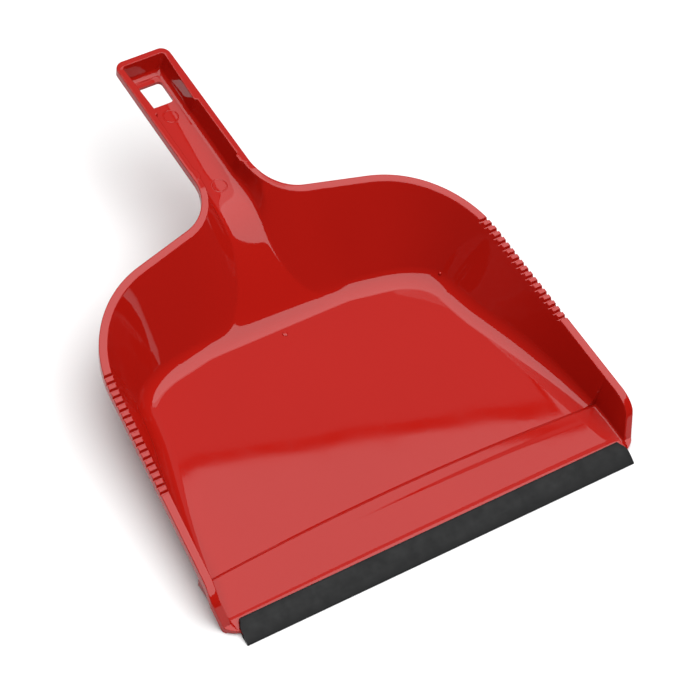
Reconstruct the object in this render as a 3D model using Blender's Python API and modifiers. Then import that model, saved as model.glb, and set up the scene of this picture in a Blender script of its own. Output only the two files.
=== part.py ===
"""Household dustpan: a one-piece moulded pan with an open channel handle, and a push-on rubber lip.

Frame: X across the mouth, +Y from the mouth back to the handle, +Z up, standing on z = 0.
All driving dimensions are in millimetres, with y = 0 at the wiping edge of the lip. The meshes are
made in metres, and placed so that the origin is under the middle of the whole object.
"""
import bmesh
import bpy
import math
from mathutils import Matrix, Vector

MM = 0.001
MIDDLE_Y = 151.8          # moved to the origin

# ---- sheet and rim ---------------------------------------------------------------------------
SHEET = 2.0               # wall and floor thickness
FLANGE_W = 4.5            # width of the flat rim around the bowl
FLANGE_W_HANDLE = 3.7     # width of the rim along the handle
SKIRT_H = 4.4             # height of the turned-down outer edge of the rim
SKIRT_T = 1.3             # thickness of that edge
EDGE_R = 0.5              # rounding of both rim edges

# ---- plan of the rim (outer edge, right half) -------------------------------------------------
SIDE_FRONT = (124.6, 25.9)
BACK_CORNER = (111.4, 177.7)
NECK_CORNER = (16.35, 201.5)
HANDLE_X = 15.9           # half width of the handle
END_Y = 303.6             # far end of the handle
BACK_R = 62.6             # plan radius of the back corners
NECK_R = 25.0             # plan radius where the back runs into the handle
END_R = 5.2               # plan radius of the handle end
TOE = ((8.3, 117.4, 3.25), (10.4, 120.0, 3.3))   # rounded toe beside the lip: y, x, z
TIP = (12.4, 121.4, 3.6)  # foot of the slanted front edge: y, x, z
TIP_LEAN = 0.27           # sideways lean of the slanted front edge

# ---- height of the rim -------------------------------------------------------------------------
RIM_FRONT_Z = 21.4
RIM_BACK_Z = 47.2
RIM_RISE = (RIM_BACK_Z - RIM_FRONT_Z) / (BACK_CORNER[1] - SIDE_FRONT[1])
RIM_NECK = (214.9, 53.4)
RIM_END_Z = 58.8
NOSE_Y, NOSE_Z = 22.7, 20.9   # where the rim line meets the slanted front edge
NOSE_R = 18.0
NOSE_SLOPE = 1.68             # rise over run of the slanted front edge

# ---- bowl ------------------------------------------------------------------------------------
FLOOR_Z = 2.0
CREASE_Y = 39.0           # crease between the floor and the front ramp, at the side walls
RAMP = ((4.6, 2.5), (9.0, 2.54), (20.0, 2.54), (31.5, 2.46), (38.3, 2.36), (39.0, 1.6))
FOOT_LINE = ((6.0, 115.6), (12.0, 115.6), (28.0, 116.0), (38.9, 115.5), (39.1, 110.9), (60.0, 105.3),
             (80.0, 98.9), (100.0, 92.0), (115.0, 87.2), (132.0, 83.4))
FOOT_CORNER = (80.5, 145.4)   # plan corner of the flat floor, rounded by a Bezier curve
FOOT_BACK = (56.0, 148.6)     # end of that rounding on the back edge of the floor
FOOT_R = ((6.0, 0.6), (14.0, 1.4), (38.9, 1.8), (39.1, 5.4), (60.0, 8.2), (91.0, 12.0), (110.0, 13.0))
PLATE = ((4.6, 114.2), (7.2, 114.2))   # front edge and sides of the plate inside the lip
NOTCH_Y = 10.6            # underside is relieved in front of this for the lower leg of the lip
NOTCH_Z = 1.15

# ---- handle channel and the slope that leads down from it ---------------------------------------
CHANNEL_Z = (221.0, 41.7)
CHANNEL_SLOPE = 0.08
CHANNEL_FOOT_X = 7.4      # half width of the flat channel floor
CHANNEL_R = 3.2
SLOPE_FOOT_Y, SLOPE_FOOT_R = 151.3, 13.0
SLOPE_TOP_Y, SLOPE_TOP_R = 202.0, 10.0
SLOPE_EDGE = ((151.3, 42.0), (154.0, 33.0), (158.0, 26.0), (164.0, 19.5), (172.0, 14.0), (182.0, 10.0),
              (192.0, 8.0), (202.0, 7.2), (212.0, 7.2), (222.0, 7.4))   # half width of the slope at each y
NECK_FILLET = ((0.0, 13.0), (0.3, 16.0), (0.6, 11.0), (0.85, 5.5), (1.0, 3.2))   # by share of the neck arc
LEDGE = (266.0, 298.0, 1.5)   # wider rim near the handle end, tapering: from, to, extra width
CLIP = (218.5, 226.5, 1.1)    # small clip bump near the neck

# ---- holes, grooves, small marks ----------------------------------------------------------------
HOLE_HALF_X = 7.1
HOLE_Y0, HOLE_Y1 = 277.6, 292.0
HOLE_R = 1.5
COMB_COUNT = 18
COMB_Y0, COMB_Y1 = 76.8, 141.6
COMB_GAP = 1.7
COMB_DEPTH = 1.5
GATE_Y, GATE_R, GATE_H = 148.6, 1.8, 0.7

# ---- rubber lip ----------------------------------------------------------------------------------
LIP_HALF = 115.0
LIP_BACK_HALF = 112.3
LIP_SHOULDER_Y = 7.0


# -------------------------------------------------------------------------------------------------
def table(rows, value):
    """Piecewise linear look-up in rows of (position, value)."""
    if value <= rows[0][0]:
        return rows[0][1]
    for (a, va), (b, vb) in zip(rows, rows[1:]):
        if value <= b:
            return va + (vb - va) * (value - a) / (b - a)
    return rows[-1][1]


def unit(a, b):
    """Unit plan vector from a to b."""
    d = math.hypot(b[0] - a[0], b[1] - a[1])
    return ((b[0] - a[0]) / d, (b[1] - a[1]) / d)


def corner_arc(before, corner, after, radius, steps):
    """Points and inward normals along a plan fillet; inward is the left-hand side of travel."""
    u = unit(before, corner)
    v = unit(corner, after)
    turn = math.atan2(u[0] * v[1] - u[1] * v[0], u[0] * v[0] + u[1] * v[1])
    tangent = radius * math.tan(abs(turn) / 2)
    start = (corner[0] - u[0] * tangent, corner[1] - u[1] * tangent)
    side = 1.0 if turn > 0 else -1.0
    centre = (start[0] - u[1] * radius * side, start[1] + u[0] * radius * side)
    out = []
    for i in range(steps + 1):
        a = turn * i / steps
        c, s = math.cos(a), math.sin(a)
        d = (u[0] * c - u[1] * s, u[0] * s + u[1] * c)
        n = (-d[1], d[0])
        out.append(((centre[0] - n[0] * radius * side, centre[1] - n[1] * radius * side), n))
    return out


def side_flare():
    """How much the side walls spread per millimetre towards the mouth."""
    return (SIDE_FRONT[0] - BACK_CORNER[0]) / (BACK_CORNER[1] - SIDE_FRONT[1])


def rim_height(y):
    """Height of the rim behind the front nose."""
    if y <= BACK_CORNER[1]:
        return RIM_FRONT_Z + RIM_RISE * (y - SIDE_FRONT[1])
    return table(((BACK_CORNER[1], RIM_BACK_Z), RIM_NECK, (END_Y, RIM_END_Z)), y)


def front_edge(steps):
    """(y, z, slope angle) down the rounded nose and the slanted edge, from the tip upwards."""
    top = math.atan(RIM_RISE)
    low = math.atan(NOSE_SLOPE)
    tangent = NOSE_R * math.tan((low - top) / 2)
    y0 = NOSE_Y - tangent * math.cos(low)
    z0 = NOSE_Z - tangent * math.sin(low)
    out = [(TIP[0], TIP[2], low), ((TIP[0] + y0) / 2, (TIP[2] + z0) / 2, low)]
    for i in range(steps + 1):
        a = low + (top - low) * i / steps
        out.append((y0 + NOSE_R * (math.sin(low) - math.sin(a)),
                    z0 + NOSE_R * (math.cos(a) - math.cos(low)), a))
    return out


def slope_angle():
    """Angle of the straight part of the slope between the bowl floor and the channel floor."""
    rise = channel_height(SLOPE_TOP_Y) - FLOOR_Z
    run = SLOPE_TOP_Y - SLOPE_FOOT_Y
    total = SLOPE_FOOT_R + SLOPE_TOP_R
    a = math.radians(40.0)
    for _ in range(60):
        a = math.atan2(rise - total * (1 - math.cos(a)), run - total * math.sin(a))
    return a


def channel_height(y):
    """Height of the channel floor in the handle."""
    return CHANNEL_Z[1] + CHANNEL_SLOPE * (y - CHANNEL_Z[0])


def floor_height(y):
    """Height of the inside floor on the centre strip, and its slope."""
    if y < CREASE_Y:
        z = table(RAMP, y)
        return z, 0.0
    a = slope_angle()
    foot_end = SLOPE_FOOT_Y + SLOPE_FOOT_R * math.sin(a)
    top_start = SLOPE_TOP_Y - SLOPE_TOP_R * math.sin(a)
    if y <= SLOPE_FOOT_Y:
        return FLOOR_Z, 0.0
    if y <= foot_end:
        s = math.asin((y - SLOPE_FOOT_Y) / SLOPE_FOOT_R)
        return FLOOR_Z + SLOPE_FOOT_R * (1 - math.cos(s)), math.tan(s)
    if y <= top_start:
        z = FLOOR_Z + SLOPE_FOOT_R * (1 - math.cos(a)) + (y - foot_end) * math.tan(a)
        return z, math.tan(a)
    if y <= SLOPE_TOP_Y:
        s = math.asin((SLOPE_TOP_Y - y) / SLOPE_TOP_R)
        return channel_height(SLOPE_TOP_Y) - SLOPE_TOP_R * (1 - math.cos(s)), math.tan(s)
    return channel_height(y), CHANNEL_SLOPE


def lerp(a, b, f):
    """Plan point between a and b."""
    return (a[0] + (b[0] - a[0]) * f, a[1] + (b[1] - a[1]) * f)


def bezier(a, b, c, f):
    """Plan point on the quadratic Bezier curve a, b, c."""
    return lerp(lerp(a, b, f), lerp(b, c, f), f)


def ease(t):
    """Smooth step between 0 and 1."""
    t = min(1.0, max(0.0, t))
    return t * t * (3 - 2 * t)


class Station:
    """One cross-section of the moulding, cut inwards from a point on the rim."""

    def __init__(self, place, z, width, radius, reach, skew=1.0, vertical=1.0, heading=0.0, lean=0.0):
        self.place = place          # plan point for a given distance in from the rim
        self.z = z                  # rim height
        self.width = width * skew   # rim width along the section
        self.skew = skew            # section length over perpendicular length at the rim
        self.radius = radius        # fillet between wall and floor
        self.reach = reach          # distance from the rim to the foot of that fillet
        self.vertical = vertical    # vertical thickness over sheet thickness on the steep nose
        self.heading = heading      # share of the section that runs along -Y
        self.lean = lean            # slope of the rim along the section
        self.edge = EDGE_R          # rounding of the rim edges


def between(point, normal, foot, z, width, radius, vertical=1.0, rise=0.0):
    """Section from a rim point to a point on the foot line."""
    d = unit(point, foot)
    reach = math.hypot(foot[0] - point[0], foot[1] - point[1])
    skew = 1.0 / max(0.4, d[0] * normal[0] + d[1] * normal[1])
    height = z - floor_height(foot[1])[0]
    edge = min(EDGE_R, 0.3 * height, 0.3 * width)
    radius = max(0.05, min(radius, 0.8 * (height - edge), 0.8 * (reach - width * skew)))
    made = Station(straight(point, d), z, width, radius, reach, skew, vertical, -d[1], rise * d[1])
    made.edge = edge
    return made


def straight(point, normal):
    """Plan point at distance a inwards along a normal."""
    return lambda a: (point[0] + normal[0] * a, point[1] + normal[1] * a)


def end_corner(angle):
    """Plan point around the handle end corner, keeping a small radius on inner offsets."""
    def place(a):
        r = max(END_R - a, 1.2)
        return (HANDLE_X - a - r + r * math.cos(angle), END_Y - a - r + r * math.sin(angle))
    return place


def end_wall(fraction):
    """Plan point along the straight end wall; fraction 1 at the corner, 0 on the centre line."""
    def place(a):
        r = max(END_R - a, 1.2)
        return ((HANDLE_X - a - r) * fraction, END_Y - a)
    return place


def handle_width(y):
    """Rim width along the handle, with the wide ledge and the clip bump."""
    if CLIP[0] < y < CLIP[1]:
        return FLANGE_W_HANDLE + CLIP[2]
    if LEDGE[0] < y < LEDGE[1]:
        return FLANGE_W_HANDLE + LEDGE[2] * (LEDGE[1] - y) / (LEDGE[1] - LEDGE[0])
    return FLANGE_W_HANDLE


def stations():
    """All cross-sections of the right half, from the front tip to the handle end."""
    rows = []
    for y, x in PLATE:
        z = floor_height(y)[0] + 0.15
        rows.append(between((x, y), (-1.0, 0.0), (x - 0.8, y), z, 0.4, 0.1))
    for y, x, z in TOE:
        foot = (table(FOOT_LINE, y), y)
        width = 0.8 * (x - foot[0])
        rows.append(between((x, y), (-1.0, 0.0), foot, z, width, 0.1))
    for y, z, a in front_edge(5):
        side = SIDE_FRONT[0] - side_flare() * (y - SIDE_FRONT[1])
        x = min(TIP[1] + TIP_LEAN * (z - TIP[2]), side)
        foot = (table(FOOT_LINE, y), y)
        rows.append(between((x, y), (-1.0, 0.0), foot, z, FLANGE_W, table(FOOT_R, y), 1 / math.cos(a)))
    slope = side_flare()
    arc = corner_arc(SIDE_FRONT, BACK_CORNER, NECK_CORNER, BACK_R, 10)
    stop = arc[0][0][1]
    spots = (35.0, CREASE_Y - 0.7, CREASE_Y - 0.1, CREASE_Y + 0.1, 48.0, 58.0, 70.0, 84.0, 98.0, stop - 10.0)
    for y in spots:
        x = SIDE_FRONT[0] - slope * (y - SIDE_FRONT[1])
        foot = (table(FOOT_LINE, y), y)
        rows.append(between((x, y), (-1.0, 0.0), foot, rim_height(y), FLANGE_W, table(FOOT_R, y)))
    start = (table(FOOT_LINE, stop), stop)
    for i, (p, n) in enumerate(arc):
        f = i / (len(arc) - 1)
        foot = bezier(start, FOOT_CORNER, FOOT_BACK, f)
        rows.append(between(p, n, foot, rim_height(p[1]), FLANGE_W, table(FOOT_R, p[1]), rise=RIM_RISE))
    neck = corner_arc(BACK_CORNER, NECK_CORNER, (HANDLE_X, END_Y), NECK_R, 13)
    last, first = arc[-1], neck[0]
    mouth = (SLOPE_EDGE[0][1], SLOPE_EDGE[0][0])
    for f in (0.25, 0.5, 0.75):
        p = lerp(last[0], first[0], f)
        foot = lerp(FOOT_BACK, mouth, f)
        rows.append(between(p, last[1], foot, rim_height(p[1]), FLANGE_W, table(FOOT_R, p[1]), rise=RIM_RISE))
    for i, (p, n) in enumerate(neck):
        f = i / (len(neck) - 1)
        y = mouth[1] + (p[1] + (neck[-1][0][1] - p[1]) * f - mouth[1]) * ease(f) ** 0.8
        foot = (table(SLOPE_EDGE, y), y)
        width = FLANGE_W + (FLANGE_W_HANDLE - FLANGE_W) * ease(f)
        radius = table(NECK_FILLET, f)
        rows.append(between(p, n, foot, rim_height(p[1]), width, radius, rise=RIM_RISE * (1 - f)))
    lead = neck[-1][0]
    spots = [CLIP[0] - 0.3, CLIP[0] + 0.7, CLIP[1] - 0.7, CLIP[1] + 0.3, 240.0, 253.0]
    spots += [LEDGE[0] - 0.6, LEDGE[0] + 0.6, 278.0, END_Y - 10.6]
    for y in [s for s in spots if s > lead[1] + 0.2]:
        x = lead[0] + (HANDLE_X - lead[0]) * (y - lead[1]) / (END_Y - lead[1])
        foot = (CHANNEL_FOOT_X, y)
        rows.append(between((x, y), (-1.0, 0.0), foot, rim_height(y), handle_width(y), CHANNEL_R))
    reach = HANDLE_X - CHANNEL_FOOT_X
    for i in range(4):
        a = math.pi / 2 * i / 3
        p = end_corner(a)(0.0)
        rows.append(Station(end_corner(a), rim_height(p[1]), FLANGE_W_HANDLE, CHANNEL_R, reach))
    body = len(rows)
    for f in STRIP[1:]:
        rows.append(Station(end_wall(1 - f), RIM_END_Z, FLANGE_W_HANDLE, CHANNEL_R, reach))
    return rows, body


STRIP = (0.0, 0.34, 0.67, 1.0)    # split of the floor between the foot line and the centre line
ARC_STEPS = 5


def section(station):
    """Inside and outside points (a, z) of one cross-section, from the foot out to the skirt."""
    s = station
    y = s.place(s.reach)[1]
    foot_z, slope = floor_height(y)
    dip = math.atan(slope * s.heading) if slope * s.heading > 0 else 0.0
    r = s.radius
    cx, cz = s.reach + r * math.sin(dip), foot_z + r * math.cos(dip)
    level = s.z + s.lean * s.width
    qx, qz = s.width, level - s.edge
    begin = 1.5 * math.pi - dip
    ratio = min(0.999, r / math.hypot(qx - cx, qz - cz))
    end = min(math.atan2(qz - cz, qx - cx) + math.acos(ratio), begin - 0.02)
    arc = [begin + (end - begin) * i / ARC_STEPS for i in range(ARC_STEPS + 1)]
    inside = [(cx + r * math.cos(a), cz + r * math.sin(a)) for a in arc]
    e = s.edge * s.skew
    q = 0.3 * s.edge
    qa = q * s.skew
    top = s.z
    inside += [(s.width, level - s.edge), (s.width - qa, level - q), (s.width - e, level - s.lean * e)]
    inside += [(e, top + s.lean * e), (qa, top - q), (0.0, top - s.edge)]
    drop = SHEET * s.vertical
    skirt = max(SKIRT_H, drop + 0.2)
    inner = min(SKIRT_T * s.skew, 0.5 * s.width)
    outside = [(0.0, top - skirt), (inner, top - skirt), (inner, top + s.lean * inner - drop)]
    ceiling = level - drop
    wall = (math.sin(end), -math.cos(end))
    lx = cx + (r + SHEET) * math.cos(end)
    lz = cz + (r + SHEET) * math.sin(end)
    rise = (ceiling - lz) / wall[1] if abs(wall[1]) > 1e-6 else 0.0
    outside.append((min(max(lx + wall[0] * rise, inner + 0.05), s.reach), ceiling))
    floor_t = (foot_z - underside(y)) * math.cos(dip)
    for a in reversed(arc):
        t = (a - begin) / (end - begin)
        rr = r + floor_t + (SHEET - floor_t) * t
        low = min(cz + rr * math.sin(a), ceiling)
        outside.append((max(cx + rr * math.cos(a), outside[-1][0] + 0.02), low))
    return inside, outside


def underside(y):
    """Height of the underside below the inside floor."""
    z, slope = floor_height(y)
    if y < NOTCH_Y:
        return NOTCH_Z
    if y < SLOPE_FOOT_Y:
        return 0.0
    return z - SHEET * math.sqrt(1 + slope * slope)


def build_pan():
    """Loft the right half of the moulding through its cross-sections and mirror it."""
    rows, body = stations()
    bm = bmesh.new()
    loops = []
    for s in rows:
        inside, outside = section(s)
        floor = NOTCH_Z if s.place(s.reach)[1] < NOTCH_Y else 0.0
        ring = []
        foot = s.place(s.reach)
        fz = floor_height(foot[1])[0]
        uz = underside(foot[1])
        for f in reversed(STRIP[1:]):
            ring.append((foot[0] * (1 - f), foot[1], fz))
        for a, z in inside:
            p = s.place(a)
            ring.append((p[0], p[1], z))
        for a, z in outside:
            p = s.place(a)
            ring.append((p[0], p[1], max(z, floor)))
        for f in STRIP[1:]:
            ring.append((foot[0] * (1 - f), foot[1], uz))
        loops.append([bm.verts.new([c * MM for c in p]) for p in ring])
    count = len(loops[0])
    split = len(STRIP) - 1
    for i in range(len(loops) - 1):
        a, b = loops[i], loops[i + 1]
        for j in range(count - 1):
            strip = j < split or j >= count - 1 - split
            if strip and i >= body - 1:
                continue
            bm.faces.new((a[j], a[j + 1], b[j + 1], b[j]))
    bm.faces.new(loops[0][::-1])
    bmesh.ops.remove_doubles(bm, verts=bm.verts, dist=1e-6)
    bmesh.ops.dissolve_degenerate(bm, edges=bm.edges, dist=1e-6)
    bmesh.ops.recalc_face_normals(bm, faces=bm.faces)
    mesh = bpy.data.meshes.new("pan")
    bm.to_mesh(mesh)
    bm.free()
    return mesh


def material(name, colour, roughness):
    """Plain material with a base colour and roughness."""
    mat = bpy.data.materials.new(name)
    mat.use_nodes = True
    node = mat.node_tree.nodes["Principled BSDF"]
    node.inputs["Base Color"].default_value = (*colour, 1.0)
    node.inputs["Roughness"].default_value = roughness
    node.inputs["Metallic"].default_value = 0.0
    return mat


def add(name, mesh, group):
    """New object in a collection, moved so that the frame's origin is under the middle."""
    mesh.transform(Matrix.Translation(Vector((0.0, -MIDDLE_Y * MM, 0.0))))
    obj = bpy.data.objects.new(name, mesh)
    group.objects.link(obj)
    return obj


def box_mesh(name, size, centre, turn=0.0, tilt=0.0, corner=0.0):
    """Box, with rounded vertical edges if asked, tilted about X, turned about Z and placed."""
    bm = bmesh.new()
    bmesh.ops.create_cube(bm, size=1.0)
    bmesh.ops.scale(bm, vec=Vector(size) * MM, verts=bm.verts)
    if corner:
        upright = [e for e in bm.edges if abs(e.verts[0].co.z - e.verts[1].co.z) > 0.5 * size[2] * MM]
        bmesh.ops.bevel(bm, geom=upright, offset=corner * MM, segments=3, profile=0.5, affect="EDGES")
    spin = Matrix.Rotation(turn, 4, "Z") @ Matrix.Rotation(tilt, 4, "X")
    bmesh.ops.transform(bm, matrix=Matrix.Translation(Vector(centre) * MM) @ spin, verts=bm.verts)
    mesh = bpy.data.meshes.new(name)
    bm.to_mesh(mesh)
    bm.free()
    return mesh


def cut(target, cutter, operation="DIFFERENCE"):
    """Exact Boolean against a cutter object."""
    mod = target.modifiers.new(cutter.name, "BOOLEAN")
    mod.operation = operation
    mod.solver = "EXACT"
    mod.object = cutter


def hide(obj):
    """Show a cutter as wire only."""
    obj.hide_render = True
    obj.display_type = "WIRE"


def comb_cutters(group):
    """Grooves across both side rims, in one object."""
    bm = bmesh.new()
    rise = math.atan(RIM_RISE)
    for i in range(COMB_COUNT):
        y = COMB_Y0 + (COMB_Y1 - COMB_Y0) * i / (COMB_COUNT - 1)
        edge = comb_edge(y)
        for side in (-1.0, 1.0):
            size = (FLANGE_W + 2.4, COMB_GAP, 2 * COMB_DEPTH)
            at = (side * (edge - FLANGE_W / 2), y, rim_height(y))
            part = box_mesh("groove", size, at, tilt=rise)
            bm.from_mesh(part)
            bpy.data.meshes.remove(part)
    mesh = bpy.data.meshes.new("comb_cutters")
    bm.to_mesh(mesh)
    bm.free()
    obj = add("comb_cutters", mesh, group)
    hide(obj)
    return obj


def comb_edge(y):
    """Outer edge of the rim beside a groove, on the side line or the start of the back corner."""
    arc = corner_arc(SIDE_FRONT, BACK_CORNER, NECK_CORNER, BACK_R, 40)
    line = SIDE_FRONT[0] - side_flare() * (y - SIDE_FRONT[1])
    if y < arc[0][0][1]:
        return line
    return min((abs(p[1] - y), p[0]) for p, n in arc)[1]


def lip_mesh():
    """Rubber channel: a sloping top leg, a thin lower leg and a pointed wiping edge."""
    top = [(0.0, 0.35), (0.4, 0.9), (5.0, 3.35), (9.0, 4.55), (12.4, 4.85), (13.1, 4.5), (13.1, 2.92)]
    slot = [(9.0, 2.88), (4.3, 2.85), (4.3, 0.85), (9.6, 0.85), (10.1, 0.45), (9.9, 0.0), (0.5, 0.0)]
    profile = top + slot
    bm = bmesh.new()
    rings = []
    for half, back in ((-LIP_HALF, -LIP_BACK_HALF), (LIP_HALF, LIP_BACK_HALF)):
        ring = []
        for y, z in profile:
            f = max(0.0, (y - LIP_SHOULDER_Y) / (13.1 - LIP_SHOULDER_Y))
            ring.append(bm.verts.new(Vector((half + (back - half) * f, y, z)) * MM))
        rings.append(ring)
    n = len(profile)
    for i in range(n):
        j = (i + 1) % n
        bm.faces.new((rings[0][i], rings[0][j], rings[1][j], rings[1][i]))
    bm.faces.new(rings[0])
    bm.faces.new(rings[1][::-1])
    bmesh.ops.recalc_face_normals(bm, faces=bm.faces)
    mesh = bpy.data.meshes.new("rubber_lip")
    bm.to_mesh(mesh)
    bm.free()
    return mesh


def gate_mesh():
    """Low dome left by the injection gate."""
    bm = bmesh.new()
    bmesh.ops.create_uvsphere(bm, u_segments=12, v_segments=8, radius=GATE_R * MM)
    bmesh.ops.scale(bm, vec=(1.0, 1.0, 2 * GATE_H / GATE_R), verts=bm.verts)
    z = floor_height(GATE_Y)[0] - 0.6 * GATE_H
    bmesh.ops.translate(bm, vec=Vector((0.0, GATE_Y, z)) * MM, verts=bm.verts)
    mesh = bpy.data.meshes.new("gate")
    bm.to_mesh(mesh)
    bm.free()
    return mesh


def main():
    for obj in list(bpy.data.objects):
        bpy.data.objects.remove(obj)
    group = bpy.data.collections.new("dustpan")
    tools = bpy.data.collections.new("cutters")
    bpy.context.scene.collection.children.link(group)
    bpy.context.scene.collection.children.link(tools)

    pan = add("pan", build_pan(), group)
    pan.data.materials.append(material("red_gloss_plastic", (0.56, 0.02, 0.012), 0.25))
    mirror = pan.modifiers.new("mirror", "MIRROR")
    mirror.use_axis = (True, False, False)
    mirror.merge_threshold = 0.00001
    cut(pan, comb_cutters(tools))
    middle = (HOLE_Y0 + HOLE_Y1) / 2
    size = (2 * HOLE_HALF_X, HOLE_Y1 - HOLE_Y0, 14.0)
    at = (0.0, middle, channel_height(middle))
    hole = add("hole_cutter", box_mesh("hole", size, at, corner=HOLE_R), tools)
    hide(hole)
    cut(pan, hole)
    gate = add("gate_mark", gate_mesh(), tools)
    hide(gate)
    cut(pan, gate, "UNION")

    lip = add("rubber_lip", lip_mesh(), group)
    lip.data.materials.append(material("black_rubber", (0.022, 0.023, 0.024), 0.6))


main()
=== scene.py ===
"""Studio scene of a household dustpan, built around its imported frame.

The red pan is one moulding: a bowl with sloping walls, a turned-down rim, and a handle that is an
open channel. A black rubber lip is pushed over the front edge of the bowl.

Shapes are laid out in millimetres, with X across the mouth, +Y from the mouth back to the handle,
+Z up, and y = 0 at the wiping edge of the lip. Meshes are brought to metres and moved into the
frame, whose origin is under the middle of the whole object, just before they are finished.
"""

import logging
import math
from collections.abc import Callable
from dataclasses import dataclass, field
from enum import Enum

import bpy
from mathutils import Euler, Matrix, Vector


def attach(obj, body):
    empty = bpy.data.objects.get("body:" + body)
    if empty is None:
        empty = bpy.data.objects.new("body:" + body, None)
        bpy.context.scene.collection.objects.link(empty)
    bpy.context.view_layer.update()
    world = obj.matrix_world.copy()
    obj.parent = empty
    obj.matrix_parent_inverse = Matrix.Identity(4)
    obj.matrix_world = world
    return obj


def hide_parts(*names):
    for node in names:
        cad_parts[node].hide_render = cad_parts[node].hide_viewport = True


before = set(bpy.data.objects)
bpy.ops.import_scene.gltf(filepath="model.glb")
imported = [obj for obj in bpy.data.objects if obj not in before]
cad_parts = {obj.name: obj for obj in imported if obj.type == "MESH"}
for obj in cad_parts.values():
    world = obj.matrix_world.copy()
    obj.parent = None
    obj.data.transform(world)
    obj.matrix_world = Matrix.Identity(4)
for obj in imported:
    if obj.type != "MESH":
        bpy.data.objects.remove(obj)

LOG = logging.getLogger("dustpan")
MM = 0.001

Plan = tuple[float, float]
Rows = tuple[tuple[float, float], ...]


class Side(Enum):
    """The two sides of the mouth."""

    LEFT = -1.0
    RIGHT = 1.0


class Cut(Enum):
    """What a tool does to the piece it meets."""

    REMOVE = "DIFFERENCE"
    JOIN = "UNION"


# ---- plane geometry --------------------------------------------------------------------------
def lookup(rows: Rows, value: float) -> float:
    """Read a piecewise linear table.

    Args:
        rows: Pairs of position and value, by rising position.
        value: Position to read.

    Returns:
        The value there, held flat beyond both ends.
    """
    if value <= rows[0][0]:
        return rows[0][1]
    for (a, at_a), (b, at_b) in zip(rows, rows[1:]):
        if value <= b:
            return at_a + (at_b - at_a) * (value - a) / (b - a)
    return rows[-1][1]


def curve(rows: Rows, value: float) -> float:
    """Read a table along a smooth curve through its rows.

    Args:
        rows: Pairs of position and value, by rising position.
        value: Position to read.

    Returns:
        The value there, held flat beyond both ends.
    """
    if value <= rows[0][0]:
        return rows[0][1]
    if value >= rows[-1][0]:
        return rows[-1][1]
    i = next(k for k in range(1, len(rows)) if value <= rows[k][0]) - 1
    (a, at_a), (b, at_b) = rows[i], rows[i + 1]
    before = rows[max(i - 1, 0)]
    after = rows[min(i + 2, len(rows) - 1)]
    rise_a = (at_b - before[1]) / (b - before[0])
    rise_b = (after[1] - at_a) / (after[0] - a)
    t = (value - a) / (b - a)
    h = b - a
    return ((2 * t ** 3 - 3 * t ** 2 + 1) * at_a + (t ** 3 - 2 * t ** 2 + t) * h * rise_a
            + (3 * t ** 2 - 2 * t ** 3) * at_b + (t ** 3 - t ** 2) * h * rise_b)


def mix(a: Plan, b: Plan, f: float) -> Plan:
    """Return the point at fraction f from a to b."""
    return (a[0] + (b[0] - a[0]) * f, a[1] + (b[1] - a[1]) * f)


def quadratic(a: Plan, b: Plan, c: Plan, f: float) -> Plan:
    """Return the point at fraction f on the quadratic curve a, b, c."""
    return mix(mix(a, b, f), mix(b, c, f), f)


def ease(t: float) -> float:
    """Return a smooth step between 0 and 1."""
    t = min(1.0, max(0.0, t))
    return t * t * (3.0 - 2.0 * t)


def spread(a: float, b: float, count: int) -> list[float]:
    """Return count evenly spaced values from a to b, both included."""
    return [a + (b - a) * i / (count - 1) for i in range(count)]


def unit(a: Plan, b: Plan) -> Plan:
    """Return the unit vector from a to b."""
    length = math.hypot(b[0] - a[0], b[1] - a[1])
    return ((b[0] - a[0]) / length, (b[1] - a[1]) / length)


def fillet(before: Plan, corner: Plan, after: Plan, radius: float, steps: int) -> list[tuple[Plan, Plan]]:
    """Round a corner of a plan outline.

    Args:
        before: A point on the line that comes in.
        corner: Where the two lines would meet.
        after: A point on the line that goes out.
        radius: Radius of the rounding.
        steps: Number of pieces of the arc.

    Returns:
        Points along the arc, each with its unit normal on the left of travel.
    """
    u = unit(before, corner)
    v = unit(corner, after)
    turn = math.atan2(u[0] * v[1] - u[1] * v[0], u[0] * v[0] + u[1] * v[1])
    tangent = radius * math.tan(abs(turn) / 2)
    side = math.copysign(1.0, turn)
    start = (corner[0] - u[0] * tangent, corner[1] - u[1] * tangent)
    centre = (start[0] - u[1] * radius * side, start[1] + u[0] * radius * side)
    arc = []
    for i in range(steps + 1):
        a = turn * i / steps
        heading = (u[0] * math.cos(a) - u[1] * math.sin(a), u[0] * math.sin(a) + u[1] * math.cos(a))
        normal = (-heading[1], heading[0])
        place = (centre[0] - normal[0] * radius * side, centre[1] - normal[1] * radius * side)
        arc.append((place, normal))
    return arc


# ---- modelling helpers -----------------------------------------------------------------------
def only(obj: bpy.types.Object) -> None:
    """Select one object and make it the active one."""
    bpy.ops.object.select_all(action="DESELECT")
    obj.select_set(True)
    bpy.context.view_layer.objects.active = obj


def apply_modifier(obj: bpy.types.Object, kind: str, **settings: object) -> None:
    """Add a modifier, set it and apply it at once.

    Args:
        obj: The object to change.
        kind: Blender's name of the modifier type.
        settings: Values of the modifier's properties.
    """
    only(obj)
    modifier = obj.modifiers.new(kind.lower(), kind)
    for name, value in settings.items():
        setattr(modifier, name, value)
    bpy.ops.object.modifier_apply(modifier=modifier.name)


def carve(target: bpy.types.Object, tool: bpy.types.Object, action: Cut) -> None:
    """Cut a tool out of a piece or join it on, and throw the tool away.

    Args:
        target: The piece.
        tool: A closed shape that is used up.
        action: Whether the tool's volume is removed or joined.
    """
    apply_modifier(target, "BOOLEAN", operation=action.value, solver="EXACT", object=tool)
    bpy.data.objects.remove(tool)


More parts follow.
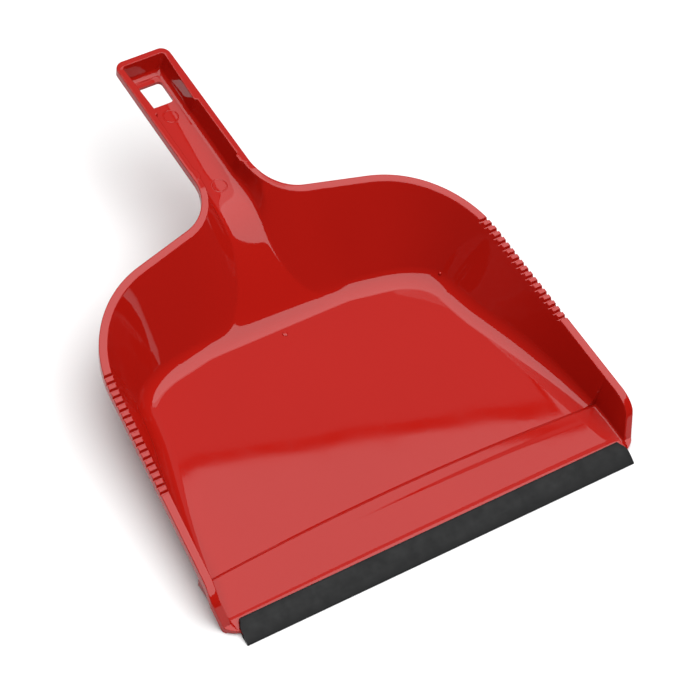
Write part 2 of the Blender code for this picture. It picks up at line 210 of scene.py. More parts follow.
def place(obj: bpy.types.Object, at: Vector, tilt: float = 0.0, turn: float = 0.0) -> None:
    """Move and turn a tool's mesh, leaving its object at the origin.

    Args:
        obj: The object whose mesh moves.
        at: Where its own origin goes, in millimetres.
        tilt: Angle about X, in radians.
        turn: Angle about Z, in radians.
    """
    obj.data.transform(Matrix.Translation(at) @ Euler((tilt, 0.0, turn)).to_matrix().to_4x4())


def smooth_by_angle(obj: bpy.types.Object, degrees: float) -> None:
    """Shade a piece smooth, except across edges sharper than an angle."""
    only(obj)
    bpy.ops.object.shade_smooth_by_angle(angle=math.radians(degrees))


@dataclass(frozen=True)
class Frame:
    """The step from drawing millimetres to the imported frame's metres."""

    middle_y: float = 151.8

    def settle(self, obj: bpy.types.Object) -> None:
        """Bring a finished mesh to metres, with the origin under the middle of the object."""
        shift = Matrix.Translation(Vector((0.0, -self.middle_y, 0.0)))
        obj.data.transform(Matrix.Scale(MM, 4) @ shift)
        obj.data.update()


# ---- the shape of the moulding ---------------------------------------------------------------
@dataclass(frozen=True)
class Rim:
    """Outer edge of the moulding, in plan and in height, for the right half."""

    side_front: Plan = (124.6, 25.9)
    back_corner: Plan = (111.4, 177.7)
    neck_corner: Plan = (16.35, 201.5)
    handle_x: float = 15.9
    end_y: float = 303.6
    back_r: float = 62.6
    neck_r: float = 25.0
    end_r: float = 5.2
    inner_end_r: float = 1.2
    front_z: float = 21.4
    back_z: float = 47.2
    neck: Plan = (214.9, 53.4)
    end_z: float = 58.8
    nose: Plan = (22.7, 20.9)
    nose_r: float = 18.0
    nose_slope: float = 1.68
    tip: tuple[float, float, float] = (12.4, 121.4, 3.6)
    tip_lean: float = 0.27
    widest: float = 124.85

    def rise(self) -> float:
        """Return the slope of the side rims."""
        return (self.back_z - self.front_z) / (self.back_corner[1] - self.side_front[1])

    def side_x(self, y: float) -> float:
        """Return the outer edge of the straight side at y."""
        lean = (self.side_front[0] - self.back_corner[0]) / (self.back_corner[1] - self.side_front[1])
        return min(self.widest, self.side_front[0] - lean * (y - self.side_front[1]))

    def height(self, y: float) -> float:
        """Return the height of the rim behind the nose."""
        if y <= self.back_corner[1]:
            return self.front_z + self.rise() * (y - self.side_front[1])
        return lookup(((self.back_corner[1], self.back_z), self.neck, (self.end_y, self.end_z)), y)

    def back_arc(self, steps: int) -> list[tuple[Plan, Plan]]:
        """Return the rounded back corner."""
        return fillet(self.side_front, self.back_corner, self.neck_corner, self.back_r, steps)

    def neck_arc(self, steps: int) -> list[tuple[Plan, Plan]]:
        """Return the curve from the back of the bowl into the handle."""
        return fillet(self.back_corner, self.neck_corner, (self.handle_x, self.end_y), self.neck_r, steps)

    def nose_line(self, steps: int) -> list[tuple[float, float, float]]:
        """Return (y, z, slope angle) up the slanted front edge and round the nose."""
        top = math.atan(self.rise())
        low = math.atan(self.nose_slope)
        tangent = self.nose_r * math.tan((low - top) / 2)
        y0 = self.nose[0] - tangent * math.cos(low)
        z0 = self.nose[1] - tangent * math.sin(low)
        tip_y, _, tip_z = self.tip
        line = [(tip_y + (y0 - tip_y) * f, tip_z + (z0 - tip_z) * f, low) for f in spread(0.0, 0.9, 8)]
        for a in spread(low, top, steps):
            y = y0 + self.nose_r * (math.sin(low) - math.sin(a))
            line.append((y, z0 + self.nose_r * (math.cos(a) - math.cos(low)), a))
        return line


@dataclass(frozen=True)
class Floor:
    """Inside floor of the bowl, the slope behind it and the floor of the handle channel."""

    level: float = 2.0
    crease_y: float = 39.0
    crease_bow: float = 4.0
    bow_reach: float = 34.0
    ramp: Rows = ((4.6, 2.5), (9.0, 2.54), (13.0, 2.56), (20.0, 2.54), (26.0, 2.51), (31.5, 2.48),
                  (32.5, 2.45), (37.6, 2.42), (38.8, 1.6), (39.0, 1.6))
    bead: Plan = (14.6, 0.16)
    bead_width: float = 0.7
    channel: Plan = (221.0, 41.7)
    channel_slope: float = 0.08
    channel_sag: float = 0.25
    sag_reach: float = 16.0
    slope_foot: Plan = (151.3, 13.0)
    slope_top: Plan = (203.0, 10.0)
    crest_bow: float = -0.8
    crest_reach: Plan = (20.0, 16.0)

    def channel_z(self, y: float) -> float:
        """Return the height of the channel floor."""
        return self.channel[1] + self.channel_slope * (y - self.channel[0])

    def slope_angle(self) -> float:
        """Return the angle of the straight part of the slope, by repeated substitution."""
        rise = self.channel_z(self.slope_top[0]) - self.level
        run = self.slope_top[0] - self.slope_foot[0]
        total = self.slope_foot[1] + self.slope_top[1]
        a = math.radians(40.0)
        for _ in range(60):
            a = math.atan2(rise - total * (1 - math.cos(a)), run - total * math.sin(a))
        return a

    def at(self, y: float) -> tuple[float, float]:
        """Return the height of the inside floor on the middle strip, and its slope.

        Args:
            y: Distance back from the wiping edge.

        Returns:
            Height and slope along Y.
        """
        if y < self.crease_y:
            bead = self.bead[1] * math.exp(-(((y - self.bead[0]) / self.bead_width) ** 2))
            return lookup(self.ramp, y) + bead, 0.0
        (foot_y, foot_r), (top_y, top_r) = self.slope_foot, self.slope_top
        a = self.slope_angle()
        foot_end = foot_y + foot_r * math.sin(a)
        top_start = top_y - top_r * math.sin(a)
        if y <= foot_y:
            return self.level, 0.0
        if y <= foot_end:
            s = math.asin((y - foot_y) / foot_r)
            return self.level + foot_r * (1 - math.cos(s)), math.tan(s)
        if y <= top_start:
            return self.level + foot_r * (1 - math.cos(a)) + (y - foot_end) * math.tan(a), math.tan(a)
        if y <= top_y:
            s = math.asin((top_y - y) / top_r)
            return self.channel_z(top_y) - top_r * (1 - math.cos(s)), math.tan(s)
        return self.channel_z(y), self.channel_slope

    def sag(self, y: float) -> float:
        """Return how far the middle of the channel floor lies below its sides."""
        return self.channel_sag * ease((y - self.slope_top[0]) / self.sag_reach)

    def bow(self, y: float) -> float:
        """Return how far the floor lines bow back in the middle, at the crease and at the crest."""
        crest = self.slope_top[0]
        reach = self.crest_reach[0] if y < crest else self.crest_reach[1]
        nose = self.crest_bow * ease(1.0 - abs(y - crest) / reach)
        return self.crease_bow * ease(1.0 - abs(y - self.crease_y) / self.bow_reach) - nose


@dataclass
class Station:
    """One cross-section of the moulding, cut inwards from a point on the rim."""

    along: Callable[[float], Plan]
    z: float
    width: float
    radius: float
    reach: float
    skew: float = 1.0
    vertical: float = 1.0
    heading: float = 0.0
    edge: float = 0.5
    brow: float = 0.6
    lean: float = 0.0


@dataclass(frozen=True)
class Wall:
    """Thicknesses, rim sizes and the number of points along a cross-section."""

    sheet: float = 2.0
    skirt_h: float = 4.4
    skirt_t: float = 1.3
    edge_r: float = 0.5
    brow_r: float = 0.6
    skirt_round: float = 0.3
    arc_points: int = 20
    wall_points: int = 6
    edge_points: int = 5
    columns: int = 10

    def station(self, point: Plan, normal: Plan, foot: Plan, z: float, floor_z: float, width: float,
                radius: float, vertical: float = 1.0, rise: float = 0.0) -> Station:
        """Cut a section from a rim point to a point where the wall meets the floor.

        Args:
            point: Outer edge of the rim.
            normal: Inward normal of the rim there.
            foot: Where the fillet ends on the floor.
            z: Height of the rim.
            floor_z: Height of the floor at the foot.
            width: Width of the flat rim, square to the edge.
            radius: Wanted fillet between wall and floor.
            vertical: Vertical thickness over sheet thickness.
            rise: Slope of the rim along Y, which its flat top follows inwards too.

        Returns:
            The section, with its fillet held to what the wall has room for.
        """
        d = unit(point, foot)
        reach = math.hypot(foot[0] - point[0], foot[1] - point[1])
        skew = 1.0 / max(0.4, d[0] * normal[0] + d[1] * normal[1])
        height = z - floor_z
        edge = min(self.edge_r, 0.3 * height, 0.3 * width)
        brow = min(self.brow_r, 0.45 * height, 0.6 * width)
        room = min(0.8 * (height - edge), 0.8 * (reach - width * skew))
        return Station(lambda a: (point[0] + d[0] * a, point[1] + d[1] * a), z, width * skew,
                       max(0.05, min(radius, room)), reach, skew, vertical, -d[1], edge, brow, rise * d[1])

    def fillet_centre(self, s: Station, foot_z: float, slope: float) -> tuple[float, Plan]:
        """Return how steeply the floor dips at a section's foot, and the centre of its fillet."""
        dip = math.atan(slope * s.heading) if slope * s.heading > 0 else 0.0
        return dip, (s.reach + s.radius * math.sin(dip), foot_z + s.radius * math.cos(dip))

    def inside(self, s: Station, foot_z: float, slope: float) -> tuple[list[Plan], float, float]:
        """Draw the inner surface and the rim of a section.

        Args:
            s: The section.
            foot_z: Height of the floor at the foot.
            slope: Slope of the floor along Y there.

        Returns:
            Points (distance in, height) from the foot to the outer edge, and the two angles
            between which the fillet runs.
        """
        dip, centre = self.fillet_centre(s, foot_z, slope)
        level = s.z + s.lean * s.width
        brink = (s.width, level - s.edge)
        begin = 1.5 * math.pi - dip
        to_brink = (brink[0] - centre[0], brink[1] - centre[1])
        ratio = min(0.999, s.radius / math.hypot(*to_brink))
        end = min(math.atan2(to_brink[1], to_brink[0]) + math.acos(ratio), begin - 0.02)
        points = []
        for a in spread(begin, end, self.arc_points):
            points.append((centre[0] + s.radius * math.cos(a), centre[1] + s.radius * math.sin(a)))
        top = points[-1]
        climb = max(0.05, brink[1] - top[1])
        points += [mix(top, brink, f) for f in spread(0.0, 1.0, self.wall_points + 1)[1:]]
        corner_x = brink[0] + (brink[0] - top[0]) / climb * s.edge
        corner = (max(corner_x, s.width - 0.8 * s.edge * s.skew), level)
        flat = (s.width - s.edge * s.skew, level - s.lean * s.edge * s.skew)
        points += [quadratic(brink, corner, flat, f) for f in spread(0.0, 1.0, self.edge_points + 1)[1:]]
        lead = (s.brow * s.skew, s.z + s.lean * s.brow * s.skew)
        points += [mix(flat, lead, f) for f in (0.33, 0.67, 1.0)]
        low = (0.0, s.z - s.brow)
        points += [quadratic(lead, (0.0, s.z), low, f) for f in spread(0.0, 1.0, self.edge_points + 1)[1:]]
        return points, begin, end

    def outside(self, s: Station, foot_z: float, under_z: float, slope: float, begin: float,
                end: float) -> list[Plan]:
        """Draw the turned-down edge and the outer surface of a section.

        Args:
            s: The section.
            foot_z: Height of the floor at the foot.
            under_z: Height of the underside there.
            slope: Slope of the floor along Y there.
            begin: Angle at which the inner fillet begins.
            end: Angle at which it ends.

        Returns:
            Points (distance in, height) from the outer edge back to the foot.
        """
        dip, centre = self.fillet_centre(s, foot_z, slope)
        drop = self.sheet * s.vertical
        skirt = max(self.skirt_h, drop + 0.2)
        inner = min(self.skirt_t * s.skew, 0.5 * s.width)
        low = s.z - skirt
        bend = min(self.skirt_round, 0.3 * inner)
        points = [(0.0, s.z - s.brow - 0.4 * (skirt - s.brow)), (0.0, low + bend), (bend, low)]
        points += [(inner - bend, low), (inner, low + bend), (inner, s.z + s.lean * inner - drop)]
        wall = (math.sin(end), -math.cos(end))
        line = (centre[0] + (s.radius + self.sheet) * math.cos(end),
                centre[1] + (s.radius + self.sheet) * math.sin(end))
        ceiling = s.z + s.lean * s.width - drop
        rise = (ceiling - line[1]) / wall[1] if abs(wall[1]) > 1e-6 else 0.0
        joint = min(max(line[0] + wall[0] * rise, inner + 0.05), s.reach)
        points.append((joint, ceiling))
        floor_t = (foot_z - under_z) * math.cos(dip)
        for a in spread(end, begin, self.arc_points // 2 + 1):
            t = (a - begin) / (end - begin)
            r = s.radius + floor_t + (self.sheet - floor_t) * t
            z = min(centre[1] + r * math.sin(a), ceiling)
            points.append((max(centre[0] + r * math.cos(a), points[-1][0] + 0.01), z))
        return points


@dataclass
class Pan:
    """The red moulding: bowl, rim and channel handle."""

    rim: Rim = field(default_factory=Rim)
    floor: Floor = field(default_factory=Floor)
    wall: Wall = field(default_factory=Wall)
    rim_w: float = 4.5
    rim_w_handle: float = 3.7
    foot_front: Rows = ((6.0, 115.6), (12.0, 115.6), (28.0, 116.0), (38.8, 115.5))
    foot_rear: Rows = ((39.3, 110.9), (60.0, 105.3), (80.0, 98.9), (100.0, 92.0), (115.0, 87.2),
                       (132.0, 83.4))
    foot_corner: Plan = (80.5, 145.4)
    foot_back: Plan = (56.0, 148.6)
    foot_front_r: Rows = ((6.0, 0.6), (14.0, 1.4), (38.8, 1.8))
    foot_rear_r: Rows = ((39.3, 5.4), (60.0, 8.2), (91.0, 12.0), (110.0, 13.0), (165.0, 13.0))
    plate: tuple[Plan, Plan] = ((4.6, 114.2), (7.2, 114.2))
    plate_step: float = 0.15
    foot_inset: float = 0.8
    flat_r: float = 0.1
    toe: tuple[float, float, float] = (12.9, 5.7, 7.2)
    toe_powers: Plan = (1.6, 0.75)
    toe_z: tuple[float, float, float] = (3.2, 0.35, 5.2)
    notch: Plan = (10.6, 1.15)
    channel_half: float = 7.4
    channel_r: float = 3.2
    slope_edge: Rows = ((151.3, 42.0), (154.0, 33.0), (158.0, 26.0), (164.0, 19.5), (172.0, 14.0),
                        (182.0, 10.0), (192.0, 8.0), (202.0, 7.2), (212.0, 7.2), (222.0, 7.4))
    neck_r: Rows = ((0.0, 13.0), (0.3, 16.0), (0.6, 11.0), (0.85, 5.5), (1.0, 3.2))
    ledge: tuple[float, float, float] = (266.0, 298.0, 1.5)
    clip: tuple[float, float, float] = (218.5, 226.5, 1.1)
    neck_passes: int = 170
    neck_half: Plan = (48.0, 16.0)
    neck_start: Plan = (153.5, 12.0)
    neck_stop: Plan = (230.0, 14.0)
    neck_depth: Plan = (4.0, 4.0)
    comb_count: int = 18
    comb: Plan = (76.8, 141.6)
    comb_gap: float = 2.1
    comb_foot: float = 0.5
    comb_depth: float = 1.65
    comb_over: float = 2.4
    hole: tuple[float, float, float] = (7.1, 277.6, 292.0)
    hole_r: float = 2.3
    hole_cut_h: float = 16.0
    gate: tuple[float, float, float] = (148.6, 1.5, 0.55)
    nub: tuple[float, float, float] = (91.0, 142.4, 0.9)
    pins: tuple[float, float] = (221.0, 269.5)
    pin_r: float = 3.9
    pin_groove: Plan = (0.5, 0.3)
    gate_lift: float = 0.05
    shade_angle: float = 32.0

    # -- sections ------------------------------------------------------------------------------
    def under_z(self, y: float) -> float:
        """Return the height of the underside below the inside floor."""
        z, slope = self.floor.at(y)
        if y < self.notch[0]:
            return self.notch[1]
        if y < self.floor.slope_foot[0]:
            return 0.0
        return z - self.wall.sheet * math.sqrt(1 + slope * slope)

    def foot_x(self, y: float) -> float:
        """Return where the fillet of the side wall ends on the floor."""
        return lookup(self.foot_front, y) if y < self.floor.crease_y else curve(self.foot_rear, y)

    def fillet_r(self, y: float) -> float:
        """Return the fillet between wall and floor, by the height up the rim."""
        return lookup(self.foot_front_r, y) if y < self.floor.crease_y else curve(self.foot_rear_r, y)

    def side_station(self, x: float, y: float, z: float, vertical: float = 1.0) -> Station:
        """Return a section of the side wall at y, square to the middle line."""
        foot = (self.foot_x(y), y)
        return self.wall.station((x, y), (-1.0, 0.0), foot, z, self.floor.at(y)[0], self.rim_w,
                                 self.fillet_r(y), vertical)

    def front_stations(self) -> list[Station]:
        """Return the sections of the plate inside the lip, the toe, the nose and the side."""
        rows = []
        for y, x in self.plate:
            z = self.floor.at(y)[0] + self.plate_step
            foot = (x - self.foot_inset, y)
            rows.append(self.wall.station((x, y), (-1.0, 0.0), foot, z, z - self.plate_step, 0.4,
                                          self.flat_r))
        y_end, depth, swell = self.toe
        low_z, lift, lift_reach = self.toe_z
        plate_y, plate_x = self.plate[1]
        for y in spread(plate_y + 0.25, self.rim.tip[0] - 0.35, 9):
            u = (y_end - y) / depth
            x = plate_x + swell * (1.0 - u ** self.toe_powers[0]) ** self.toe_powers[1]
            foot_x = min(self.foot_x(y), x - self.foot_inset)
            z = low_z + lift * ease((y - plate_y) / lift_reach)
            rows.append(self.wall.station((x, y), (-1.0, 0.0), (foot_x, y), z, self.floor.at(y)[0],
                                          0.8 * (x - foot_x), self.flat_r))
        tip_y, tip_x, tip_z = self.rim.tip
        for y, z, a in self.rim.nose_line(16):
            x = min(tip_x + self.rim.tip_lean * (z - tip_z), self.rim.side_x(y))
            rows.append(self.side_station(x, y, z, 1.0 / math.cos(a)))
        crease = self.floor.crease_y
        stop = self.rim.back_arc(2)[0][0][1]
        places = spread(rows[-1].along(0.0)[1] + 0.8, crease - 2.0, 8)
        places += [crease - 1.4, crease - 0.8, crease - 0.2, crease + 0.3, crease + 1.0]
        places += spread(crease + 2.2, stop - 1.2, 56)
        rows += [self.side_station(self.rim.side_x(y), y, self.rim.height(y)) for y in places]
        return rows

    def back_stations(self) -> list[Station]:
        """Return the sections of the back corner, the back wall and the neck."""
        rows = []
        arc = self.rim.back_arc(44)
        stop = arc[0][0][1]
        start = (self.foot_x(stop), stop)
        for i, (p, n) in enumerate(arc):
            foot = quadratic(start, self.foot_corner, self.foot_back, i / (len(arc) - 1))
            rows.append(self.wall.station(p, n, foot, self.rim.height(p[1]), self.floor.at(foot[1])[0],
                                          self.rim_w, self.fillet_r(p[1]), rise=self.rim.rise()))
        neck = self.rim.neck_arc(60)
        (last, last_n), first = arc[-1], neck[0][0]
        mouth = (self.slope_edge[0][1], self.slope_edge[0][0])
        for f in spread(0.0, 1.0, 14)[1:-1]:
            p = mix(last, first, f)
            foot = mix(self.foot_back, mouth, f)
            rows.append(self.wall.station(p, last_n, foot, self.rim.height(p[1]), self.floor.at(foot[1])[0],
                                          self.rim_w, self.fillet_r(p[1]), rise=self.rim.rise()))
        for i, (p, n) in enumerate(neck):
            f = i / (len(neck) - 1)
            y = mouth[1] + (p[1] + (neck[-1][0][1] - p[1]) * f - mouth[1]) * ease(f) ** 0.8
            foot = (curve(self.slope_edge, y), y)
            width = self.rim_w + (self.rim_w_handle - self.rim_w) * ease(f)
            radius = lookup(self.neck_r, f)
            rows.append(self.wall.station(p, n, foot, self.rim.height(p[1]), self.floor.at(y)[0],
                                          width, radius, rise=self.rim.rise() * (1.0 - f)))
        return rows

    def handle_width(self, y: float) -> float:
        """Return the rim width along the handle, with the wide ledge and the clip bump."""
        y0, y1, more = self.clip
        bump = more * min(ease((y - y0) / 0.9 + 0.5), ease((y1 - y) / 0.9 + 0.5))
        y0, y1, more = self.ledge
        taper = max(0.0, (y1 - y) / (y1 - y0))
        return self.rim_w_handle + bump + more * ease((y - y0) / 0.9 + 0.5) * taper

    def handle_stations(self, start: Plan) -> list[Station]:
        """Return the sections of the handle as far as the middle of its end corner.

        Args:
            start: Rim point where the neck ends.
        """
        rows = []
        reach = self.rim.handle_x - self.channel_half
        stop = self.rim.end_y - reach - self.rim.inner_end_r - 0.4
        places = {round(y, 2) for y in spread(start[1] + 1.5, stop, 40)}
        for y0, y1, _ in (self.ledge, self.clip):
            for edge in (y0, y1):
                places |= {round(edge + d, 2) for d in (-0.6, -0.3, 0.0, 0.3, 0.6)}
        for y in sorted(y for y in places if start[1] + 0.2 < y <= stop):
            x = start[0] + (self.rim.handle_x - start[0]) * (y - start[1]) / (self.rim.end_y - start[1])
            rows.append(self.wall.station((x, y), (-1.0, 0.0), (self.channel_half, y), self.rim.height(y),
                                          self.floor.at(y)[0], self.handle_width(y), self.channel_r))
        for a in spread(0.0, math.pi / 2, 12):
            rows.append(Station(self.end_corner(a), self.rim.height(self.end_corner(a)(0.0)[1]),
                                self.rim_w_handle, self.channel_r, reach))
        return rows

    def end_corner(self, angle: float) -> Callable[[float], Plan]:
        """Return the plan line inwards from the rounded corner of the handle's end."""
        def along(a: float) -> Plan:
            """Return the plan point at distance a."""
            r = max(self.rim.end_r - a, self.rim.inner_end_r)
            return (self.rim.handle_x - a - r + r * math.cos(angle),
                    self.rim.end_y - a - r + r * math.sin(angle))
        return along

    def end_wall(self, fraction: float) -> Callable[[float], Plan]:
        """Return the plan line inwards from the handle's end; 1 at the corner, 0 in the middle."""
        def along(a: float) -> Plan:
            """Return the plan point at distance a."""
            r = max(self.rim.end_r - a, self.rim.inner_end_r)
            return ((self.rim.handle_x - a - r) * fraction, self.rim.end_y - a)
        return along

    def stations(self) -> tuple[list[Station], int]:
        """Return all sections of the right half, and how many come before the end wall."""
        rows = self.front_stations() + self.back_stations()
        rows += self.handle_stations(rows[-1].along(0.0))
        body = len(rows)
        reach = self.rim.handle_x - self.channel_half
        for f in spread(0.0, 1.0, self.wall.columns + 1)[1:]:
            rows.append(Station(self.end_wall(1.0 - f), self.rim.end_z, self.rim_w_handle,
                                self.channel_r, reach))
        return rows, body

    def ring(self, s: Station) -> list[Vector]:
        """Return the whole outline of one section, from the middle of the floor round to the
        middle of the underside."""
        foot = s.along(s.reach)
        foot_z, slope = self.floor.at(foot[1])
        under = self.under_z(foot[1])
        bow = self.floor.bow(foot[1])
        sag = self.floor.sag(foot[1])
        inside, begin, end = self.wall.inside(s, foot_z, slope)
        outside = self.wall.outside(s, foot_z, under, slope, begin, end)
        least = self.notch[1] if foot[1] < self.notch[0] else 0.0
        fractions = spread(0.0, 1.0, self.wall.columns + 1)[1:]
        points = []
        for f in reversed(fractions):
            arch = 1.0 - (1.0 - f) ** 2
            points.append(Vector((foot[0] * (1 - f), foot[1] + bow * arch, foot_z - sag * arch)))
        points += [Vector((*s.along(a), z)) for a, z in inside]
        points += [Vector((*s.along(a), max(z, least))) for a, z in outside]
        points += [Vector((foot[0] * (1 - f), foot[1], under)) for f in fractions]
        return points

    # -- modelling -----------------------------------------------------------------------------
    def shell(self) -> bpy.types.Object:
        """Lay a grid over the sections of the right half, then mirror and close it."""
        rows, body = self.stations()
        rings = [self.ring(s) for s in rows]
        count = len(rings[0])
        bpy.ops.object.select_all(action="DESELECT")
        bpy.ops.mesh.primitive_grid_add(x_subdivisions=count - 1, y_subdivisions=len(rings) - 1)
        obj = bpy.context.active_object
        mesh = obj.data
        for i, ring in enumerate(rings):
            for j, point in enumerate(ring):
                mesh.vertices[i * count + j].co = point
        strip = self.wall.columns
        drop = []
        for face in mesh.polygons:
            i, j = divmod(face.index, count - 1)
            if i >= body - 1 and (j < strip or j >= count - 1 - strip):
                drop.append(face.index)
        bpy.ops.object.mode_set(mode="EDIT")
        bpy.ops.mesh.select_all(action="DESELECT")
        bpy.ops.object.mode_set(mode="OBJECT")
        for index in drop:
            mesh.polygons[index].select = True
        bpy.ops.object.mode_set(mode="EDIT")
        bpy.ops.mesh.select_mode(type="FACE")
        bpy.ops.mesh.delete(type="FACE")
        bpy.ops.mesh.select_all(action="SELECT")
        bpy.ops.mesh.remove_doubles(threshold=0.002)
        bpy.ops.object.mode_set(mode="OBJECT")
        apply_modifier(obj, "MIRROR", use_axis=(True, False, False), merge_threshold=0.004)
        only(obj)
        bpy.ops.object.mode_set(mode="EDIT")
        bpy.ops.mesh.select_mode(type="EDGE")
        bpy.ops.mesh.select_all(action="DESELECT")
        bpy.ops.mesh.select_non_manifold()
        bpy.ops.mesh.edge_face_add()
        bpy.ops.mesh.select_all(action="SELECT")
        bpy.ops.mesh.normals_make_consistent(inside=False)
        bpy.ops.object.mode_set(mode="OBJECT")
        return obj

    def relax_neck(self, obj: bpy.types.Object) -> None:
        """Soften the inside where the slope runs into the back wall and the channel, less and
        less towards the edges of that patch."""
        group = obj.vertex_groups.new(name="neck")
        for vertex in obj.data.vertices:
            x, y, z = vertex.co
            weight = ease((self.neck_half[0] - abs(x)) / self.neck_half[1])
            weight = weight * ease((y - self.neck_start[0]) / self.neck_start[1])
            weight = weight * ease((self.neck_stop[0] - y) / self.neck_stop[1])
            weight *= ease((self.rim.height(y) - self.neck_depth[0] - z) / self.neck_depth[1])
            if vertex.normal.z > 0.02 and weight > 0.0:
                group.add([vertex.index], weight, "REPLACE")
        apply_modifier(obj, "SMOOTH", factor=0.5, iterations=self.neck_passes, vertex_group=group.name)
        obj.vertex_groups.clear()

    def cut_comb(self, obj: bpy.types.Object) -> None:
        """Cut the row of grip grooves across both side rims."""
        arc = self.rim.back_arc(60)
        tools = []
        for y in spread(*self.comb, self.comb_count):
            edge = self.rim.side_x(y)
            if y > arc[0][0][1]:
                edge = min((abs(p[1] - y), p[0]) for p, _ in arc)[1]
            for side in Side:
                bpy.ops.mesh.primitive_cube_add(size=1.0)
                tool = bpy.context.active_object
                for vertex in tool.data.vertices:
                    up = vertex.co.z > 0.0
                    width = 2 * self.comb_gap - self.comb_foot if up else self.comb_foot
                    vertex.co.x *= self.rim_w + self.comb_over
                    vertex.co.y *= width
                    vertex.co.z *= 2 * self.comb_depth
                at = Vector((side.value * (edge - self.rim_w / 2), y, self.rim.height(y)))
                place(tool, at, tilt=math.atan(self.rim.rise()))
                tools.append(tool)
        bpy.ops.object.select_all(action="DESELECT")
        for tool in tools:
            tool.select_set(True)
        bpy.context.view_layer.objects.active = tools[0]
        bpy.ops.object.join()
        carve(obj, tools[0], Cut.REMOVE)

    def cut_hole(self, obj: bpy.types.Object) -> None:
        """Cut the rounded square hole that the pan hangs from."""
        half, y0, y1 = self.hole
        bpy.ops.mesh.primitive_cube_add(size=1.0)
        tool = bpy.context.active_object
        tool.data.transform(Matrix.Diagonal(Vector((2 * half, y1 - y0, self.hole_cut_h))).to_4x4())
        bpy.ops.object.mode_set(mode="EDIT")
        bpy.ops.mesh.select_mode(type="EDGE")
        bpy.ops.mesh.select_all(action="DESELECT")
        bpy.ops.object.mode_set(mode="OBJECT")
        for edge in tool.data.edges:
            a, b = (tool.data.vertices[i].co for i in edge.vertices)
            edge.select = abs(a.z - b.z) > 1.0
        bpy.ops.object.mode_set(mode="EDIT")
        bpy.ops.mesh.bevel(offset=self.hole_r, segments=6, affect="EDGES")
        bpy.ops.object.mode_set(mode="OBJECT")
        middle = (y0 + y1) / 2
        place(tool, Vector((0.0, middle, self.floor.channel_z(middle))))
        carve(obj, tool, Cut.REMOVE)

    def add_marks(self, obj: bpy.types.Object) -> None:
        """Add the gate dome, the small nub in the corner and the two ejector pin rings."""
        y, radius, height = self.gate
        bpy.ops.mesh.primitive_uv_sphere_add(segments=24, ring_count=16, radius=radius)
        dome = bpy.context.active_object
        dome.data.transform(Matrix.Diagonal(Vector((1.0, 1.0, height / radius))).to_4x4())
        z, slope = self.floor.at(y)
        place(dome, Vector((0.0, y, z + self.gate_lift)), tilt=math.atan(slope))
        carve(obj, dome, Cut.JOIN)
        x, y, radius = self.nub
        _, spot, _, _ = obj.ray_cast(Vector((x, y, self.rim.end_z)), Vector((0.0, 0.0, -1.0)))
        bpy.ops.mesh.primitive_uv_sphere_add(segments=16, ring_count=12, radius=radius)
        nub = bpy.context.active_object
        place(nub, spot)
        carve(obj, nub, Cut.JOIN)
        groove_r, lift = self.pin_groove
        for pin_y in self.pins:
            bpy.ops.mesh.primitive_torus_add(major_segments=48, minor_segments=10,
                                             major_radius=self.pin_r, minor_radius=groove_r)
            groove = bpy.context.active_object
            at = Vector((0.0, pin_y, self.floor.channel_z(pin_y) - self.floor.sag(pin_y) + lift))
            place(groove, at, tilt=math.atan(self.floor.channel_slope))
            carve(obj, groove, Cut.REMOVE)

    def build(self) -> bpy.types.Object:
        """Model the whole moulding and return it, in the frame."""
        obj = self.shell()
        self.relax_neck(obj)
        self.cut_comb(obj)
        self.cut_hole(obj)
        self.add_marks(obj)
        obj.name = "pan_moulding"
        obj.data.name = obj.name
        Frame().settle(obj)
        smooth_by_angle(obj, self.shade_angle)
        return obj


